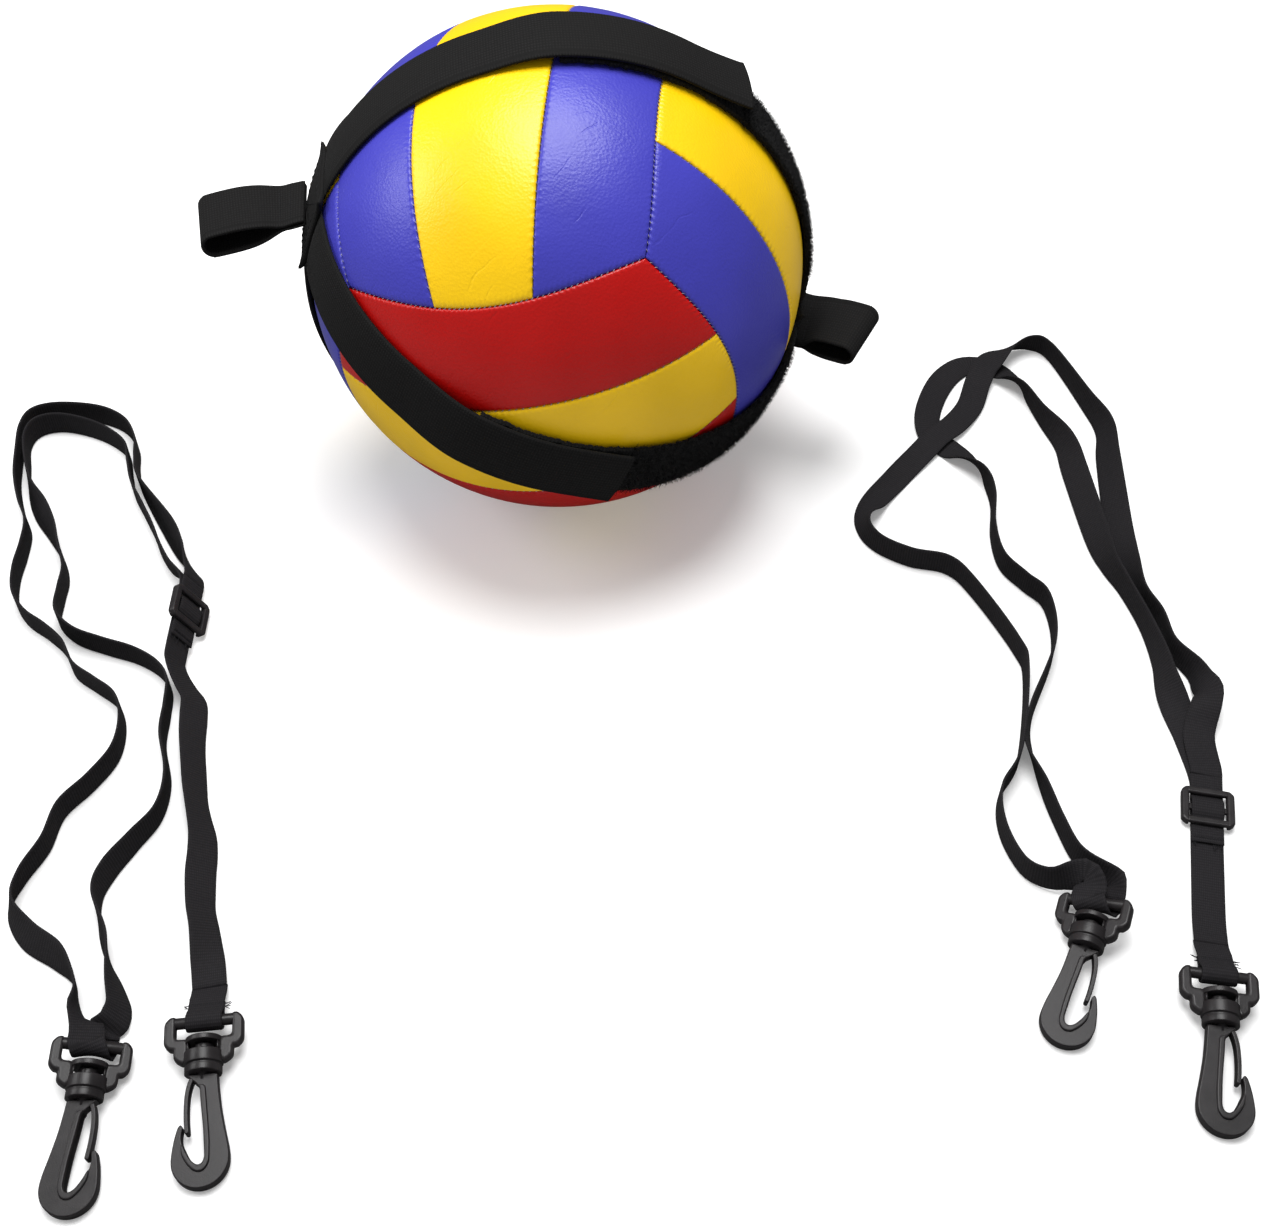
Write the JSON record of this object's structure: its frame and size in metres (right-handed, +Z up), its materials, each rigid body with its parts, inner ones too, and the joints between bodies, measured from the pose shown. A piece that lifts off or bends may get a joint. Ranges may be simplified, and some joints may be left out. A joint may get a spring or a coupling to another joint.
{
  "type": "volleyball spike trainer",
  "caption": "Practice ball in a webbing harness with folded pull tabs, with adjustable elastic ropes that end in swivel snap hooks.",
  "frame": {"origin": "on the floor under the middle of the ball, at the centre of the harness's resting patch", "axes": "+Z up, +X to the right of the picture, +Y away from its camera"},
  "size_m": [0.5352, 0.4858, 0.2178],
  "materials": {
    "yellow_leather": "smooth synthetic cover, light sheen",
    "blue_leather": "smooth synthetic cover, light sheen",
    "red_leather": "smooth synthetic cover, light sheen",
    "nylon_webbing": "black woven strap",
    "fuzzy_webbing": "black looped pile strap",
    "elastic_webbing": "black elastic strap with fine cross ribs",
    "black_plastic": "moulded, satin",
    "black_rubber": "plain rubber"
  },
  "bodies": {
    "root": {"panel_top_first": "blue_leather", "panel_top_middle": "yellow_leather", "panel_top_last": "blue_leather", "panel_bottom_first": "red_leather", "panel_bottom_middle": "yellow_leather", "panel_bottom_last": "red_leather", "panel_front_first": "red_leather", "panel_front_middle": "yellow_leather", "panel_front_last": "red_leather", "panel_back_first": "blue_leather", "panel_back_middle": "yellow_leather", "panel_back_last": "blue_leather", "panel_right_first": "blue_leather", "panel_right_middle": "yellow_leather", "panel_right_last": "red_leather", "panel_left_first": "blue_leather", "panel_left_middle": "yellow_leather", "panel_left_last": "red_leather", "bladder": "black_rubber", "valve": "black_rubber", "smooth_arm_top": "nylon_webbing", "loop_arm_top": "fuzzy_webbing", "smooth_arm_front": "nylon_webbing", "loop_arm_front": "fuzzy_webbing", "smooth_arm_back": "nylon_webbing", "loop_arm_back": "fuzzy_webbing", "smooth_arm_bottom": "nylon_webbing", "loop_arm_bottom": "fuzzy_webbing", "pole_patch_left": "nylon_webbing", "pole_patch_right": "nylon_webbing", "left_single_strand": "elastic_webbing", "left_inner_strand": "elastic_webbing", "left_outer_strand": "elastic_webbing", "right_single_strand": "elastic_webbing", "right_inner_strand": "elastic_webbing", "right_outer_strand": "elastic_webbing", "left_sewn_end": "elastic_webbing", "right_sewn_end": "elastic_webbing"},
    "flap_top": {"flap_top": "nylon_webbing"},
    "flap_front": {"flap_front": "nylon_webbing"},
    "flap_back": {"flap_back": "nylon_webbing"},
    "flap_bottom": {"flap_bottom": "nylon_webbing"},
    "tab_left": {"tab_left": "nylon_webbing"},
    "tab_right": {"tab_right": "nylon_webbing"},
    "left_turn_ring": {"left_turn_ring": "black_plastic"},
    "left_turn_hook": {"left_turn_hook": "black_plastic"},
    "left_turn_gate": {"left_turn_gate": "black_plastic"},
    "left_end_ring": {"left_end_ring": "black_plastic"},
    "left_end_hook": {"left_end_hook": "black_plastic"},
    "left_end_gate": {"left_end_gate": "black_plastic"},
    "right_turn_ring": {"right_turn_ring": "black_plastic"},
    "right_turn_hook": {"right_turn_hook": "black_plastic"},
    "right_turn_gate": {"right_turn_gate": "black_plastic"},
    "right_end_ring": {"right_end_ring": "black_plastic"},
    "right_end_hook": {"right_end_hook": "black_plastic"},
    "right_end_gate": {"right_end_gate": "black_plastic"},
    "left_slider": {"left_slider": "black_plastic", "left_slider_webbing": "elastic_webbing"},
    "right_slider": {"right_slider": "black_plastic", "right_slider_webbing": "elastic_webbing"}
  },
  "joints": [
    {"name": "flap_top_peel", "type": "hinge", "parent": "root", "child": "flap_top", "pos_m": [0.00355, 0.0016, 0.21774], "axis": [0.0904, -0.9958, 0.0115], "range_deg": [0, 60]},
    {"name": "flap_front_peel", "type": "hinge", "parent": "root", "child": "flap_front", "pos_m": [-0.03287, -0.10531, 0.10282], "axis": [-0.3492, 0.1492, -0.9251], "range_deg": [0, 60]},
    {"name": "flap_back_peel", "type": "hinge", "parent": "root", "child": "flap_back", "pos_m": [-0.03914, 0.10187, 0.12418], "axis": [0.3433, -0.0228, 0.939], "range_deg": [0, 60]},
    {"name": "flap_bottom_peel", "type": "hinge", "parent": "root", "child": "flap_bottom", "pos_m": [-0.08412, -0.00762, 0.03629], "axis": [-0.0874, 0.9962, -0.0033], "range_deg": [0, 60]},
    {"name": "tab_left_fold", "type": "hinge", "parent": "root", "child": "tab_left", "pos_m": [-0.10338, -0.00894, 0.14498], "axis": [-0.1093, 0.9919, -0.0646], "range_deg": [-35, 50]},
    {"name": "tab_right_fold", "type": "hinge", "parent": "root", "child": "tab_right", "pos_m": [0.10338, 0.00894, 0.06982], "axis": [-0.0038, -0.9704, -0.2415], "range_deg": [-50, 35]},
    {"name": "left_turn_ring_pivot", "type": "hinge", "parent": "root", "child": "left_turn_ring", "pos_m": [-0.1602, -0.3156, 0.00878], "axis": [-0.939, -0.0505, 0.3401], "range_deg": [0, 60]},
    {"name": "left_turn_swivel", "type": "hinge", "parent": "left_turn_ring", "child": "left_turn_hook", "pos_m": [-0.15989, -0.33549, 0.00669], "axis": [0.0156, -0.9944, -0.1045], "continuous": true},
    {"name": "left_turn_gate_hinge", "type": "hinge", "parent": "left_turn_hook", "child": "left_turn_gate", "pos_m": [-0.15554, -0.3385, 0.00636], "axis": [-0.0016, 0.1045, -0.9945], "range_deg": [0, 15], "stiffness_Nm_per_rad": 0.02, "springref_deg": -5.73},
    {"name": "left_end_ring_pivot", "type": "hinge", "parent": "root", "child": "left_end_ring", "pos_m": [-0.12178, -0.3061, 0.00878], "axis": [-0.9938, -0.1115, 0], "range_deg": [0, 60]},
    {"name": "left_end_swivel", "type": "hinge", "parent": "left_end_ring", "child": "left_end_hook", "pos_m": [-0.11957, -0.32587, 0.00669], "axis": [0.1109, -0.9883, -0.1045], "continuous": true},
    {"name": "left_end_gate_hinge", "type": "hinge", "parent": "left_end_hook", "child": "left_end_gate", "pos_m": [-0.12349, -0.32941, 0.00636], "axis": [0.0117, -0.1039, 0.9945], "range_deg": [0, 15], "stiffness_Nm_per_rad": 0.02, "springref_deg": -5.73},
    {"name": "right_turn_ring_pivot", "type": "hinge", "parent": "root", "child": "right_turn_ring", "pos_m": [0.2077, -0.2572, 0.00878], "axis": [-0.8535, 0.3644, -0.3726], "range_deg": [0, 60]},
    {"name": "right_turn_swivel", "type": "hinge", "parent": "right_turn_ring", "child": "right_turn_hook", "pos_m": [0.20067, -0.27581, 0.00669], "axis": [-0.3515, -0.9303, -0.1045], "continuous": true},
    {"name": "right_turn_gate_hinge", "type": "hinge", "parent": "right_turn_hook", "child": "right_turn_gate", "pos_m": [0.2036, -0.28021, 0.00636], "axis": [0.0369, 0.0978, -0.9945], "range_deg": [0, 15], "stiffness_Nm_per_rad": 0.02, "springref_deg": -5.73},
    {"name": "right_end_ring_pivot", "type": "hinge", "parent": "root", "child": "right_end_ring", "pos_m": [0.2471, -0.28774, 0.00878], "axis": [-0.99, 0.1409, 0], "range_deg": [0, 60]},
    {"name": "right_end_swivel", "type": "hinge", "parent": "right_end_ring", "child": "right_end_hook", "pos_m": [0.2443, -0.30743, 0.00669], "axis": [-0.1401, -0.9846, -0.1045], "continuous": true},
    {"name": "right_end_gate_hinge", "type": "hinge", "parent": "right_end_hook", "child": "right_end_gate", "pos_m": [0.24812, -0.31109, 0.00636], "axis": [0.0147, 0.1035, -0.9945], "range_deg": [0, 15], "stiffness_Nm_per_rad": 0.02, "springref_deg": -5.73},
    {"name": "left_slider_slide", "type": "slide", "parent": "root", "child": "left_slider", "axis": [0, -1, 0], "range_m": [0, 0.006]},
    {"name": "right_slider_slide", "type": "slide", "parent": "root", "child": "right_slider", "axis": [-0.1908, -0.9816, 0], "range_m": [0, 0.03]}
  ]
}
